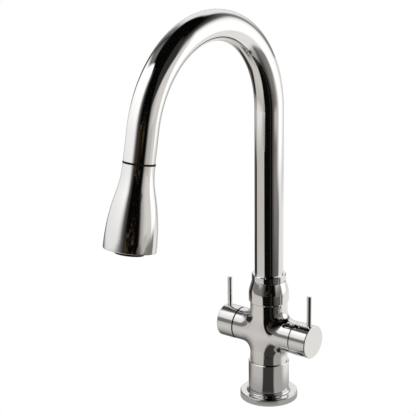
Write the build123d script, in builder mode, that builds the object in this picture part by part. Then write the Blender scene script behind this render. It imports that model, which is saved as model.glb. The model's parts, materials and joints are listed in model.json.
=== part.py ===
"""Two-handle kitchen tap with a tall swivel spout and a pull-down spray head.

Lengths are in millimetres. The origin is the centre of the flange's underside, where it
meets the deck. +Z is up, the spout reaches towards -Y and the handles lie along X.
"""
from build123d import *
from math import atan, cos, degrees, radians, sin
import os

os.makedirs("parts", exist_ok=True)

# Clearances
slip = 0.1                    # round pieces that fit in one another
running_gap = 0.3             # pieces that turn or slide past one another

# Deck flange, its gasket and the pedestal sleeve
flange_radius = 29.0
flange_height = 6.6
flange_edge = 1.2
cove_radius = 2.6
pedestal_radius = 20.5
pedestal_bottom = 9.4
pedestal_height = 30.1
boss_step = 0.4
pedestal_wall = 2.3
seam_chamfer = 0.5
gasket_inner = 22.5
gasket_width = 4.0
gasket_depth = 1.5

# Cast cross body
column_radius = 18.8
arm_rise = 31.2               # from the pedestal's top to the arms' axis
column_rise = 32.1            # from the arms' axis to the column's top
foot_bottom = 0.5
arm_radius = 16.3
arm_reach = 34.1
root_step = 0.2               # how far the column stands proud where the arms run into it
flare_length = 24.0
cross_fillet = 9.0
hose_passage_radius = 6.6

# Waterways and fixings that open under the body
port_offset = 12.3
inlet_radius = 4.5
inlet_depth = 14.0
riser_radius = 3.2
stud_hole_radius = 3.4
stud_hole_depth = 25.0
gallery_radius = 1.8
gallery_drop = 4.7
gallery_offset = 9.8

# Socket and neck that carry the spout
socket_depth = 17.8
socket_radius = 15.5
neck_height = 9.2
neck_wall = 1.5
thrust_step = 1.0
thrust_flange = 2.4
thrust_lift = 0.8

# Collar nut and the trim ring above it
collar_radius = 20.2
collar_chamfer = 1.4
collar_band = 11.6
collar_height = 22.5
collar_top_radius = 16.9
collar_bulge = 0.7            # how far the upper side curves in from a straight cone
trim_height = 6.9
trim_radius = 17.2
trim_notch = 0.7

# Spout tube
tube_radius = 14.3
tube_wall = 1.2
leg_length = 194.0
arch_radius = 95.3
arch_angle = 168.0
tip_length = 30.0
journal_length = 17.2
bush_length = 9.3
spigot_length = 14.0
foot_bore = 9.0
oring_section = 1.45

# Hose
hose_radius = 5.2
hose_bottom = 3.0
hose_tail_length = 23.0
ferrule_wall = 0.95

# Quarter-turn valves, measured along the arms
chamber_radius = 10.4
chamber_floor = 12.0
seal_thickness = 2.5
disc_radius = 8.5
disc_thickness = 3.0
port_radius = 2.2
port_spread = 4.2
valve_bore = 8.7
driver_thickness = 2.8
stem_radius = 4.5
spline_radius = 4.0
hex_flats = 21.0
hex_length = 3.0
valve_neck_radius = 7.2
valve_neck_length = 1.4
window_length = 5.0
window_width = 7.0

# Handles
glide_thickness = 0.6
hub_radius = 16.6
hub_wall = 3.0
hub_length = 18.6
hub_edge = 0.9
hub_pocket = 6.5
lever_radius = 2.4
lever_inset = 5.3             # from the hub's end face to the lever's axis
lever_height = 47.0
lever_root = 6.8
lever_edge = 0.6
grub_radius = 2.0
grub_length = 5.0
grub_socket = 2.0

# Docking bush in the spout's mouth, measured along the mouth's axis
dock_ring = 1.5
dock_ring_radius = 14.6
dock_length = 20.0
dock_bore = 10.6

# Spray head, measured along its axis from its top edge
head_length = 75.7
head_top_radius = 14.5
head_rim_radius = 23.7
head_straight = 4.0
head_hollow_length = 20.0
head_skirt = 2.7
head_wall = 1.6
head_roof = 2.4
head_edge = 0.8
neck_radius = 10.3
neck_above = 17.5
neck_below = 14.0
neck_lead = 1.5
neck_shoulder = 12.0
neck_shoulder_height = 2.0
union_bore = 8.0
union_seat = 3.0
union_hex_flats = 15.0
union_hex_length = 3.0
crimp_length = 7.5
swivel_bore = 2.2
swivel_shank = 4.2
swivel_bulb = 6.5
swivel_bulb_length = 3.4
washer_thickness = 0.8
check_valve_radius = 6.0
check_valve_bore = 3.0
check_valve_length = 12.0
core_inset = 9.7
core_top_radius = 12.4
core_bottom_radius = 17.6
core_wall = 2.0
bezel_recess = 1.4
bezel_thickness = 2.0
nozzle_radius = 13.3
nozzle_proud = 3.7
nozzle_length = 9.0
nozzle_edge = 0.6
nozzle_rim = 1.0
nozzle_wall = 2.5
aerator_radius = 6.4
aerator_wall = 0.8
aerator_recess = 0.5
aerator_thickness = 2.5
aerator_cell = 0.75
aerator_pitch = 1.0
aerator_rows = 5
nub_radius = 0.95
nub_tip_radius = 0.6
nub_height = 0.9
nub_sides = 6
inner_nub_ring = 8.4
inner_nubs = 12
outer_nub_ring = 11.1
outer_nubs = 16

# Places worked out from the sizes
boss_radius = pedestal_radius + boss_step
foot_radius = pedestal_radius - pedestal_wall - slip
flange_bore = foot_radius + slip
pedestal_top = pedestal_bottom + pedestal_height
arm_height = pedestal_top + arm_rise
body_top = arm_height + column_rise
socket_bottom = body_top - socket_depth
root_radius = column_radius - root_step
bush_inner = tube_radius + slip
neck_bore = socket_radius + thrust_step
neck_outer = neck_bore + neck_wall
neck_top = body_top + neck_height
collar_top = body_top + collar_height
collar_lip = neck_top + slip
collar_bore = tube_radius + running_gap
trim_bottom = collar_top + running_gap
foot_flange_bottom = body_top + thrust_lift
tube_bottom = foot_flange_bottom + thrust_flange
leg_top = tube_bottom + leg_length
journal_bottom = foot_flange_bottom - journal_length
groove_bottom = journal_bottom + oring_section
hose_tail_radius = hose_radius + ferrule_wall
bush_flange_top = foot_flange_bottom - slip
bush_flange_bottom = body_top + slip
tube_bore = tube_radius - tube_wall
valve_front = chamber_floor + seal_thickness
moving_disc_front = valve_front + disc_thickness + slip
driver_front = moving_disc_front + disc_thickness + slip
driver_back = driver_front + driver_thickness
hex_end = arm_reach + hex_length
valve_end = hex_end + valve_neck_length
hub_start = arm_reach + glide_thickness + running_gap
hub_end = hub_start + hub_length
hub_floor = hub_start + hub_pocket
lever_station = hub_end - lever_inset
spline_end = hub_floor + hub_pocket
grub_station = (hub_floor + lever_station - lever_radius) / 2
tube_end = -(dock_ring + running_gap)
union_top = -(neck_above + union_hex_length)
hose_end = union_top - running_gap - ferrule_wall - slip
bulb_bottom = -(union_seat + washer_thickness + running_gap)
union_bottom = bulb_bottom - swivel_bulb_length - running_gap
shoulder_bottom = head_roof + slip + neck_shoulder_height
core_top = shoulder_bottom + slip
core_bottom = head_length - core_inset
head_crown_length = head_length - head_straight - head_hollow_length - head_skirt
bezel_bottom = head_length - bezel_recess
nozzle_bottom = head_length + nozzle_proud
nozzle_top = nozzle_bottom - nozzle_length
aerator_bottom = nozzle_bottom - aerator_recess
nub_floor = nozzle_bottom - nub_height

# Frames that the pieces are drawn in
arm_plane = Plane(origin=(0, 0, arm_height), x_dir=(1, 0, 0), z_dir=(0, -1, 0))
arm_axis = Axis((0, 0, arm_height), (1, 0, 0))
spout_plane = Plane(origin=(0, 0, 0), x_dir=(0, -1, 0), z_dir=(-1, 0, 0))
turn = radians(arch_angle)
head_direction = Vector(0, -sin(turn), cos(turn))
mouth_reach = arch_radius * (1 - cos(turn)) + tip_length * sin(turn)
mouth_height = leg_top + arch_radius * sin(turn) + tip_length * cos(turn)
mouth = Vector(0, -mouth_reach, mouth_height)
head_plane = Plane(
    origin=mouth,
    x_dir=(1, 0, 0),
    z_dir=(0, -head_direction.Z, head_direction.Y),
)
head_axis = Axis(mouth, head_direction)
sides = {
    "left": Plane(origin=(0, 0, arm_height), x_dir=(-1, 0, 0), z_dir=(0, 1, 0)),
    "right": arm_plane,
}


def band(low_x, high_x, low_y, high_y, mode=Mode.ADD):
    """Draw a rectangle from its edges in the sketch that is open."""
    with Locations(((low_x + high_x) / 2, (low_y + high_y) / 2)):
        Rectangle(high_x - low_x, high_y - low_y, mode=mode)


def rims(part, radius, place, along=Axis.Z):
    """Circular edges of one radius whose centre lies at one place along an axis."""
    found = ShapeList()
    for edge in part.edges().filter_by(GeomType.CIRCLE):
        station = (edge.arc_center - along.position).dot(along.direction)
        if abs(edge.radius - radius) < 0.01 and abs(station - place) < 0.01:
            found.append(edge)
    return found


def spout_path(start, end):
    """Centre line of the spout, from a height on the leg to a place along the mouth's axis."""
    leg = Line((0, start), (0, leg_top))
    arch = JernArc(leg @ 1, (0, 1), arch_radius, -arch_angle)
    PolarLine(arch @ 1, tip_length + end, direction=arch % 1)


def head_face(place):
    """Plane across the spray head at a distance below its top edge."""
    return Plane(
        origin=mouth + head_direction * place,
        x_dir=(1, 0, 0),
        z_dir=head_direction,
    )


def bell_curve(radius, start, inset):
    """Side of the spray head: a straight top, a hollow flare and a rounded crown."""
    rise = head_rim_radius - head_top_radius
    slope = 2 * atan(rise / (head_hollow_length + head_crown_length))
    top = Line((radius, start), (radius, head_straight))
    hollow = head_hollow_length / sin(slope) + inset
    flare = JernArc(top @ 1, (0, 1), hollow, -degrees(slope))
    crown = head_crown_length / sin(slope) - inset
    return JernArc(flare @ 1, flare % 1, crown, degrees(slope))


def save(piece, label):
    """Name a finished piece and write its file."""
    piece.part.label = label
    export_step(piece.part, f"parts/{label}.step")


# Gasket in the groove under the flange
with BuildPart() as deck_gasket:
    with BuildSketch(Plane.XZ):
        band(gasket_inner + slip, gasket_inner + gasket_width - slip, 0, gasket_depth)
    revolve(axis=Axis.Z)
save(deck_gasket, "deck_gasket")

# Deck flange, hollowed up to a low boss that the pedestal stands on
with BuildPart() as deck_flange:
    with BuildSketch(Plane.XZ):
        band(flange_bore, flange_radius, 0, flange_height)
        band(flange_bore, boss_radius, 0, pedestal_bottom)
        band(gasket_inner, gasket_inner + gasket_width, 0, gasket_depth, Mode.SUBTRACT)
    revolve(axis=Axis.Z)
    fillet(rims(deck_flange, boss_radius, flange_height), cove_radius)
    fillet(rims(deck_flange, flange_radius, flange_height), flange_edge)
save(deck_flange, "deck_flange")

# Plain sleeve of the pedestal
with BuildPart() as pedestal_sleeve:
    with BuildSketch(Plane.XZ):
        band(pedestal_radius - pedestal_wall, pedestal_radius, pedestal_bottom, pedestal_top)
    revolve(axis=Axis.Z)
    chamfer(rims(pedestal_sleeve, pedestal_radius, pedestal_bottom), seam_chamfer)
    chamfer(rims(pedestal_sleeve, pedestal_radius, pedestal_top), seam_chamfer)
save(pedestal_sleeve, "pedestal_sleeve")

# Cross body: a column and two arms that flow into one another, with its foot and neck
with BuildPart() as cross_body:
    with BuildSketch(Plane.XY.offset(pedestal_top)):
        Circle(column_radius)
    extrude(amount=body_top - pedestal_top)
    with BuildSketch(arm_plane):
        with BuildLine():
            sleeve = Polyline((0, 0), (arm_reach, 0), (arm_reach, arm_radius), (flare_length, arm_radius))
            flare = TangentArc(sleeve @ 1, (0, root_radius), tangent=sleeve % 1)
            Line(flare @ 1, (0, 0))
        make_face()
        mirror(about=Plane.YZ)
    revolve(axis=arm_axis)
    joins = cross_body.edges().filter_by(GeomType.CIRCLE, reverse=True)
    joins = joins.filter_by(GeomType.LINE, reverse=True)
    fillet(joins, cross_fillet)
    for arm_face in (-arm_reach, arm_reach):
        chamfer(rims(cross_body, arm_radius, arm_face, Axis.X), seam_chamfer)
    chamfer(rims(cross_body, column_radius, pedestal_top), seam_chamfer)
    with BuildSketch(Plane.XY.offset(foot_bottom)):
        Circle(foot_radius)
    extrude(amount=pedestal_top - foot_bottom)
    with BuildSketch(Plane.XY.offset(body_top)):
        Circle(neck_outer)
    extrude(amount=neck_height)
    with BuildSketch(Plane.XZ):
        band(0, hose_passage_radius, foot_bottom, socket_bottom)
        band(0, socket_radius, socket_bottom, neck_top)
        band(0, neck_bore, bush_flange_bottom, neck_top)
    revolve(axis=Axis.Z, mode=Mode.SUBTRACT)
    with BuildSketch(arm_plane):
        band(chamber_floor, arm_reach, 0, chamber_radius)
        band(-arm_reach, -chamber_floor, 0, chamber_radius)
    revolve(axis=arm_axis, mode=Mode.SUBTRACT)
    with BuildSketch(Plane.XY.offset(foot_bottom)):
        with Locations((-port_offset, 0), (port_offset, 0), (0, port_offset)):
            Circle(inlet_radius)
    extrude(amount=inlet_depth, mode=Mode.SUBTRACT)
    with BuildSketch(Plane.XY.offset(foot_bottom)):
        with Locations((-port_offset, 0), (port_offset, 0), (0, port_offset)):
            Circle(riser_radius)
    extrude(amount=arm_height - gallery_drop - foot_bottom, mode=Mode.SUBTRACT)
    with BuildSketch(Plane.YZ.offset(-chamber_floor - disc_thickness)):
        with Locations((gallery_offset, arm_height - gallery_drop)):
            Circle(gallery_radius)
    extrude(amount=2 * (chamber_floor + disc_thickness), mode=Mode.SUBTRACT)
    with BuildSketch(Plane.XY.offset(foot_bottom)):
        with Locations((0, -port_offset)):
            Circle(stud_hole_radius)
    extrude(amount=stud_hole_depth, mode=Mode.SUBTRACT)
save(cross_body, "cross_body")

# Plastic bush and thrust washer that the spout turns in
with BuildPart() as lower_bush:
    with BuildSketch(Plane.XZ):
        band(bush_inner, socket_radius - slip, bush_flange_top - bush_length - slip, bush_flange_top)
        band(bush_inner, neck_bore - slip, bush_flange_bottom, bush_flange_top)
    revolve(axis=Axis.Z)
save(lower_bush, "lower_bush")

with BuildPart() as upper_bush:
    with BuildSketch(Plane.XZ):
        band(bush_inner, neck_bore - slip, tube_bottom + slip, collar_lip - slip)
    revolve(axis=Axis.Z)
save(upper_bush, "upper_bush")

# Collar nut that holds the spout down, waisted towards the trim ring
with BuildPart() as collar_nut:
    with BuildSketch(Plane.XZ):
        with BuildLine():
            side = Line((collar_radius, body_top), (collar_radius, body_top + collar_band))
            waist = SagittaArc(side @ 1, (collar_top_radius, collar_top), collar_bulge)
            Polyline(waist @ 1, (0, collar_top), (0, body_top), side @ 0)
        make_face()
        band(0, collar_bore, body_top, collar_top, Mode.SUBTRACT)
        band(0, neck_outer + slip, body_top, collar_lip, Mode.SUBTRACT)
    revolve(axis=Axis.Z)
    chamfer(rims(collar_nut, collar_radius, body_top), collar_chamfer)
save(collar_nut, "collar_nut")

# Trim ring that turns with the spout above the collar
with BuildPart() as trim_ring:
    with BuildSketch(Plane.XZ):
        band(tube_radius, trim_radius - trim_notch, trim_bottom, trim_bottom + trim_notch)
        band(tube_radius, trim_radius, trim_bottom + trim_notch, collar_top + trim_height)
    revolve(axis=Axis.Z)
    chamfer(rims(trim_ring, trim_radius, collar_top + trim_height), trim_notch)
save(trim_ring, "trim_ring")

# Swept spout tube
with BuildPart() as spout_tube:
    with BuildLine(spout_plane) as tube_line:
        spout_path(tube_bottom, tube_end)
    with BuildSketch(Plane.XY.offset(tube_bottom)):
        Circle(tube_radius)
        Circle(tube_bore, mode=Mode.SUBTRACT)
    sweep(path=tube_line.line)
save(spout_tube, "spout_tube")

# Brass foot that carries the tube: spigot, thrust flange and journal
with BuildPart() as spout_foot:
    with BuildSketch(Plane.XZ):
        band(foot_bore, tube_bore - slip, tube_bottom, tube_bottom + spigot_length)
        band(foot_bore, neck_bore - slip, foot_flange_bottom, tube_bottom)
        band(foot_bore, tube_radius, journal_bottom, foot_flange_bottom)
        band(
            tube_radius - 2 * oring_section + slip,
            tube_radius,
            groove_bottom,
            groove_bottom + 2 * oring_section,
            Mode.SUBTRACT,
        )
    revolve(axis=Axis.Z)
save(spout_foot, "spout_foot")

with BuildPart() as swivel_oring:
    with BuildSketch(Plane.XZ):
        with Locations((socket_radius - 2 * slip - oring_section, groove_bottom + oring_section)):
            RegularPolygon(oring_section - slip, 8)
    revolve(axis=Axis.Z)
save(swivel_oring, "swivel_oring")

# Hose, from its tail in the body to the swivel in the spray head
with BuildPart() as spray_hose:
    with BuildLine(spout_plane) as hose_line:
        spout_path(hose_bottom, hose_end)
    with BuildSketch(Plane.XY.offset(hose_bottom)):
        Circle(hose_radius)
    sweep(path=hose_line.line)
save(spray_hose, "spray_hose")

with BuildPart() as hose_tail:
    with BuildSketch(Plane.XZ):
        band(riser_radius, hose_tail_radius, foot_bottom, hose_tail_length)
        band(0, hose_radius, hose_bottom, hose_tail_length, Mode.SUBTRACT)
    revolve(axis=Axis.Z)
save(hose_tail, "hose_tail")

# Quarter-turn valves and handles, one set for each arm
for name, plane in sides.items():
    outward = plane.x_dir.X
    axis = Axis(plane.origin, plane.x_dir)

    # Rubber seal on the floor of the chamber
    with BuildPart() as seat_seal:
        with BuildSketch(plane):
            band(chamber_floor, valve_front, port_spread + port_radius, disc_radius + slip)
        revolve(axis=axis)
    save(seat_seal, f"{name}_seat_seal")

    # Ceramic disc that stays still, with its two ports
    with BuildPart() as fixed_disc:
        with BuildSketch(plane):
            band(valve_front, valve_front + disc_thickness, 0, disc_radius)
        revolve(axis=axis)
        with BuildSketch(Plane.YZ.offset(outward * valve_front)):
            with Locations((-port_spread, arm_height), (port_spread, arm_height)):
                Circle(port_radius)
        extrude(amount=outward * disc_thickness, mode=Mode.SUBTRACT)
    save(fixed_disc, f"{name}_fixed_disc")

    # Ceramic disc that the handle turns, with one waisted passage across it
    with BuildPart() as moving_disc:
        with BuildSketch(plane):
            band(moving_disc_front, moving_disc_front + disc_thickness, 0, disc_radius - slip)
        revolve(axis=axis)
        with BuildSketch(Plane.YZ.offset(outward * moving_disc_front)):
            with Locations((0, arm_height)):
                SlotOverall(2 * (port_spread + port_radius), 2 * port_radius, rotation=90)
        extrude(amount=outward * disc_thickness / 2, mode=Mode.SUBTRACT)
    save(moving_disc, f"{name}_moving_disc")

    # Brass valve body with a hexagon outside the arm and two side windows
    with BuildPart() as valve_body:
        with BuildSketch(plane):
            band(valve_front, arm_reach, 0, chamber_radius - slip)
            band(arm_reach, valve_end, 0, valve_neck_radius)
        revolve(axis=axis)
        with BuildSketch(Plane.YZ.offset(outward * arm_reach)):
            with Locations((0, arm_height)):
                RegularPolygon(hex_flats / 2, 6, major_radius=False)
        extrude(amount=outward * hex_length)
        with BuildSketch(plane):
            band(valve_front, driver_back + slip, 0, valve_bore)
            band(driver_back, valve_end, 0, stem_radius + slip)
        revolve(axis=axis, mode=Mode.SUBTRACT)
        with BuildSketch(Plane.XY.offset(arm_height - window_width / 2)):
            with Locations((outward * (moving_disc_front + window_length / 2), 0)):
                Rectangle(window_length, 2 * arm_radius)
        extrude(amount=window_width, mode=Mode.SUBTRACT)
    save(valve_body, f"{name}_valve_body")

    # Stem that drives the moving disc and carries the handle
    with BuildPart() as valve_stem:
        with BuildSketch(plane):
            band(driver_front, driver_back, 0, disc_radius - slip)
            band(driver_back, valve_end, 0, stem_radius)
            band(valve_end, spline_end - slip, 0, spline_radius)
        revolve(axis=axis)
    save(valve_stem, f"{name}_valve_stem")

    # Dark glide ring in the seam between the arm and the hub
    with BuildPart() as glide_ring:
        with BuildSketch(plane):
            band(arm_reach, arm_reach + glide_thickness, hub_radius - hub_wall, arm_radius - slip)
        revolve(axis=axis)
    save(glide_ring, f"{name}_glide_ring")

    # Round hub with a deep pocket over the valve
    with BuildPart() as handle_hub:
        with BuildSketch(plane):
            band(hub_start, hub_end, 0, hub_radius)
        revolve(axis=axis)
        fillet(rims(handle_hub, hub_radius, hub_end, axis), hub_edge)
        with BuildSketch(plane):
            band(hub_start, hub_floor, 0, hub_radius - hub_wall)
            band(hub_floor, spline_end, 0, spline_radius + slip)
        revolve(axis=axis, mode=Mode.SUBTRACT)
        with BuildSketch(Plane.XY.offset(arm_height + lever_root)):
            with Locations((outward * lever_station, 0)):
                Circle(lever_radius + slip)
        extrude(amount=hub_radius, mode=Mode.SUBTRACT)
        with BuildSketch(Plane.XY.offset(arm_height - hub_radius)):
            with Locations((outward * grub_station, 0)):
                Circle(grub_radius + slip)
        extrude(amount=hub_radius - spline_radius, mode=Mode.SUBTRACT)
    save(handle_hub, f"{name}_handle_hub")

    # Pin lever that stands up from the hub
    with BuildPart() as lever:
        with BuildSketch(Plane.XY.offset(arm_height + lever_root)):
            with Locations((outward * lever_station, 0)):
                Circle(lever_radius)
        extrude(amount=lever_height - lever_root)
        chamfer(lever.edges().group_by(Axis.Z)[-1], lever_edge)
    save(lever, f"{name}_lever")

    # Socket screw that clamps the hub to the stem from below
    screw_top = arm_height - spline_radius - slip
    with BuildPart() as grub_screw:
        with BuildSketch(Plane.XY.offset(screw_top)):
            with Locations((outward * grub_station, 0)):
                Circle(grub_radius)
        extrude(amount=-grub_length)
        with BuildSketch(Plane.XY.offset(screw_top - grub_length)):
            with Locations((outward * grub_station, 0)):
                RegularPolygon(grub_socket / 2, 6, major_radius=False)
        extrude(amount=grub_length / 2, mode=Mode.SUBTRACT)
    save(grub_screw, f"{name}_grub_screw")

# Black docking bush pressed into the spout's mouth, with the ring that shows in the seam
with BuildPart() as dock_bush:
    with BuildSketch(head_plane):
        band(dock_bore, dock_ring_radius, tube_end, tube_end + dock_ring)
        band(dock_bore, tube_bore - slip, tube_end - dock_length, tube_end)
    revolve(axis=head_axis)
    chamfer(rims(dock_bush, dock_bore, tube_end + dock_ring, head_axis), neck_lead)
save(dock_bush, "dock_bush")

# Swivel end crimped on the hose: a sleeve, a shank and a bulb
with BuildPart() as hose_swivel:
    with BuildSketch(head_plane):
        band(hose_radius + slip, hose_tail_radius, hose_end - crimp_length, hose_end + slip)
        band(swivel_bore, hose_tail_radius, hose_end + slip, hose_end + slip + ferrule_wall)
        band(swivel_bore, swivel_shank, hose_end + slip, bulb_bottom)
        band(swivel_bore, swivel_bulb, bulb_bottom - swivel_bulb_length, bulb_bottom)
    revolve(axis=head_axis)
save(hose_swivel, "hose_swivel")

# Neck of the spray head, which docks in the bush and holds the hose's swivel
with BuildPart() as head_neck:
    with BuildSketch(head_plane):
        band(0, neck_radius, -neck_above, neck_below)
        band(0, neck_shoulder, head_roof + slip, shoulder_bottom)
        band(0, union_bore, -neck_above, -union_seat, Mode.SUBTRACT)
        band(0, check_valve_radius + slip, -union_seat, neck_below, Mode.SUBTRACT)
    revolve(axis=head_axis)
    chamfer(rims(head_neck, neck_radius, -neck_above, head_axis), neck_lead)
save(head_neck, "head_neck")

# Union nut that keeps the bulb in the neck
with BuildPart() as union_nut:
    with BuildSketch(head_plane):
        band(0, union_bore - slip, -neck_above, union_bottom)
    revolve(axis=head_axis)
    with BuildSketch(head_face(union_top)):
        RegularPolygon(union_hex_flats / 2, 6, major_radius=False)
    extrude(amount=union_hex_length)
    with BuildSketch(head_plane):
        band(0, swivel_shank + slip, union_top, union_bottom)
    revolve(axis=head_axis, mode=Mode.SUBTRACT)
save(union_nut, "union_nut")

# Washer under the bulb
with BuildPart() as union_washer:
    with BuildSketch(head_plane):
        band(swivel_shank, union_bore - slip, -union_seat - washer_thickness, -union_seat)
    revolve(axis=head_axis)
save(union_washer, "union_washer")

# Check valve cartridge in the neck
with BuildPart() as check_valve:
    with BuildSketch(head_plane):
        band(check_valve_bore, check_valve_radius, slip - union_seat, check_valve_length)
    revolve(axis=head_axis)
save(check_valve, "check_valve")

# Chromed bell of the spray head
with BuildPart() as head_shell:
    with BuildSketch(head_plane):
        with BuildLine():
            outer = bell_curve(head_top_radius, 0, 0)
            Polyline(
                outer @ 1,
                (head_rim_radius, head_length),
                (0, head_length),
                (0, 0),
                (head_top_radius, 0),
            )
        make_face()
        with BuildLine():
            inner = bell_curve(head_top_radius - head_wall, head_roof, head_wall)
            Polyline(
                inner @ 1,
                (head_rim_radius - head_wall, head_length),
                (0, head_length),
                (0, head_roof),
                (head_top_radius - head_wall, head_roof),
            )
        make_face(mode=Mode.SUBTRACT)
        band(0, neck_radius + slip, 0, head_roof, Mode.SUBTRACT)
    revolve(axis=head_axis)
    fillet(rims(head_shell, head_rim_radius, head_length, head_axis), head_edge)
save(head_shell, "head_shell")

# Inner core that carries the water down to the nozzle
with BuildPart() as flow_core:
    with BuildSketch(head_plane):
        with BuildLine():
            Polyline(
                (0, core_top),
                (core_top_radius, core_top),
                (core_top_radius, neck_below),
                (core_bottom_radius, core_bottom),
                (0, core_bottom),
                close=True,
            )
        make_face()
        with BuildLine():
            Polyline(
                (0, neck_below),
                (core_top_radius - 2 * core_wall, neck_below),
                (core_bottom_radius - core_wall, core_bottom),
                (0, core_bottom),
                close=True,
            )
        make_face(mode=Mode.SUBTRACT)
        band(0, neck_radius + slip, core_top, neck_below + slip, Mode.SUBTRACT)
    revolve(axis=head_axis)
save(flow_core, "flow_core")

# Black nozzle with a seat for the aerator and a shallow ring that the nubs stand in
with BuildPart() as nozzle_face:
    with BuildSketch(head_plane):
        band(0, nozzle_radius, nozzle_top, nozzle_bottom)
        band(0, core_bottom_radius, core_bottom, nozzle_top)
        band(0, nozzle_radius - nozzle_wall, core_bottom, nozzle_bottom - nozzle_wall, Mode.SUBTRACT)
        band(0, aerator_radius + slip, nozzle_top, nozzle_bottom, Mode.SUBTRACT)
        band(
            aerator_radius + aerator_wall,
            nozzle_radius - nozzle_rim,
            nub_floor,
            nozzle_bottom,
            Mode.SUBTRACT,
        )
    revolve(axis=head_axis)
    fillet(rims(nozzle_face, nozzle_radius, nozzle_bottom, head_axis), nozzle_edge)
save(nozzle_face, "nozzle_face")

# Aerator disc with its honeycomb of cells
with BuildPart() as aerator:
    with BuildSketch(head_face(aerator_bottom)):
        Circle(aerator_radius)
        with HexLocations(aerator_pitch, aerator_rows, aerator_rows):
            RegularPolygon(aerator_cell, 6, mode=Mode.SUBTRACT)
    extrude(amount=-aerator_thickness)
save(aerator, "aerator")

# Soft spray nubs round the aerator
with BuildPart() as spray_nubs:
    with BuildSketch(head_face(nub_floor)):
        with PolarLocations(inner_nub_ring, inner_nubs):
            RegularPolygon(nub_radius, nub_sides)
        with PolarLocations(outer_nub_ring, outer_nubs):
            RegularPolygon(nub_radius, nub_sides)
    extrude(amount=nub_height, taper=degrees(atan((nub_radius - nub_tip_radius) / nub_height)))
save(spray_nubs, "spray_nubs")

# Dark plate set back in the rim around the nozzle
with BuildPart() as bezel_plate:
    with BuildSketch(head_plane):
        band(
            nozzle_radius + slip,
            head_rim_radius - head_wall - slip,
            bezel_bottom - bezel_thickness,
            bezel_bottom,
        )
    revolve(axis=head_axis)
save(bezel_plate, "bezel_plate")
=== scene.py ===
"""Two-handle kitchen tap in polished chrome, with a pull-down spray head.

Dresses the tap's solids with their finishes, shows the cast body, the domed collar nut,
the braided hose and the soft spray nubs in their full form, and lights the tap in a small
photographic studio. Lengths are in metres. +Z is up, the spout reaches towards -Y and the
handles lie along X.
"""
import json
import math

import bmesh
import bpy
from bpy.props import FloatProperty, FloatVectorProperty, IntProperty, PointerProperty
from mathutils import Matrix, Vector


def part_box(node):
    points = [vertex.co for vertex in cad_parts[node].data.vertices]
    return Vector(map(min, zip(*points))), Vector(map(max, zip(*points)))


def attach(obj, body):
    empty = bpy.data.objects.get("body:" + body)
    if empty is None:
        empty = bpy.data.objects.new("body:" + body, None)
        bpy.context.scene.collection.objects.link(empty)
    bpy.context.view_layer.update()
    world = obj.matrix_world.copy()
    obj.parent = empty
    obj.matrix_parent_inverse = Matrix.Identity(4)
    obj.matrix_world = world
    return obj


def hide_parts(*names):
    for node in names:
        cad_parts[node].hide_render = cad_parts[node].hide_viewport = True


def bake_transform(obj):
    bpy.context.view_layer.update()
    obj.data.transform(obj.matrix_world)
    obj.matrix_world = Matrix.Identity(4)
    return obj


bl_info = {
    "name": "Kitchen Tap",
    "version": (1, 0, 0),
    "blender": (4, 5, 0),
    "location": "View3D > Sidebar > Tap",
    "description": "Finishes, hose and studio for a two-handle kitchen tap",
    "category": "Object",
}

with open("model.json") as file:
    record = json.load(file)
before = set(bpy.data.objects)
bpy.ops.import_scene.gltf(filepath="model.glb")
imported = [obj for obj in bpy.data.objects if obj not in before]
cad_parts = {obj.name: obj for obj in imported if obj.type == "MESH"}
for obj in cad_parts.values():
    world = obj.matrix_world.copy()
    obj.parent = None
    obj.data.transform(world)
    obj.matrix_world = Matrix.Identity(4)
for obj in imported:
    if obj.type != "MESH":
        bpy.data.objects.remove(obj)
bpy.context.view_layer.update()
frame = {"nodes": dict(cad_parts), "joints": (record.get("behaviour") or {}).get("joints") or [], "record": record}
nodes = frame["nodes"]
WHITE = (1.0, 1.0, 1.0, 1.0)


def joint(name):
    """Joint of the frame by its name."""
    return next(each for each in frame["joints"] if each["name"] == name)


# The mouth of the spout, and the way that the spray head slides out of it
mouth = Vector(joint("spray_head_twist")["pos_m"])
head_axis = Vector(joint("spray_head_pull")["axis"]).normalized()
head_side = Vector((1, 0, 0))
head_up = head_axis.cross(head_side)
travel = joint("spray_head_pull")["range_m"][1]


class Chrome(bpy.types.PropertyGroup):
    """Polished chrome plate on the body, spout, handles and spray head."""

    colour: FloatVectorProperty(
        name="Colour",
        description="Reflectance of the chrome plate",
        default=(0.78, 0.775, 0.765),
        min=0,
        max=1,
        subtype="COLOR",
    )
    roughness: FloatProperty(
        name="Roughness",
        description="Roughness of the cleanest parts of the plate",
        default=0.018,
        min=0,
        max=1,
        subtype="FACTOR",
    )
    haze: FloatProperty(
        name="Haze",
        description="Roughness that faint smears and water marks add",
        default=0.035,
        min=0,
        max=1,
        subtype="FACTOR",
    )
    waviness: FloatProperty(
        name="Waviness",
        description="Height of the slow ripple that polishing leaves",
        default=0.00001,
        min=0,
        precision=6,
        unit="LENGTH",
    )


class Plastics(bpy.types.PropertyGroup):
    """Moulded plastics and rubbers."""

    black: FloatVectorProperty(
        name="Black",
        description="Colour of the black nozzle and docking bush",
        default=(0.004, 0.004, 0.004),
        min=0,
        max=1,
        subtype="COLOR",
    )
    natural: FloatVectorProperty(
        name="Natural",
        description="Colour of the undyed bearing plastic",
        default=(0.82, 0.81, 0.77),
        min=0,
        max=1,
        subtype="COLOR",
    )
    rubber: FloatVectorProperty(
        name="Rubber",
        description="Colour of the seals and spray nubs",
        default=(0.022, 0.022, 0.023),
        min=0,
        max=1,
        subtype="COLOR",
    )


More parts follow.
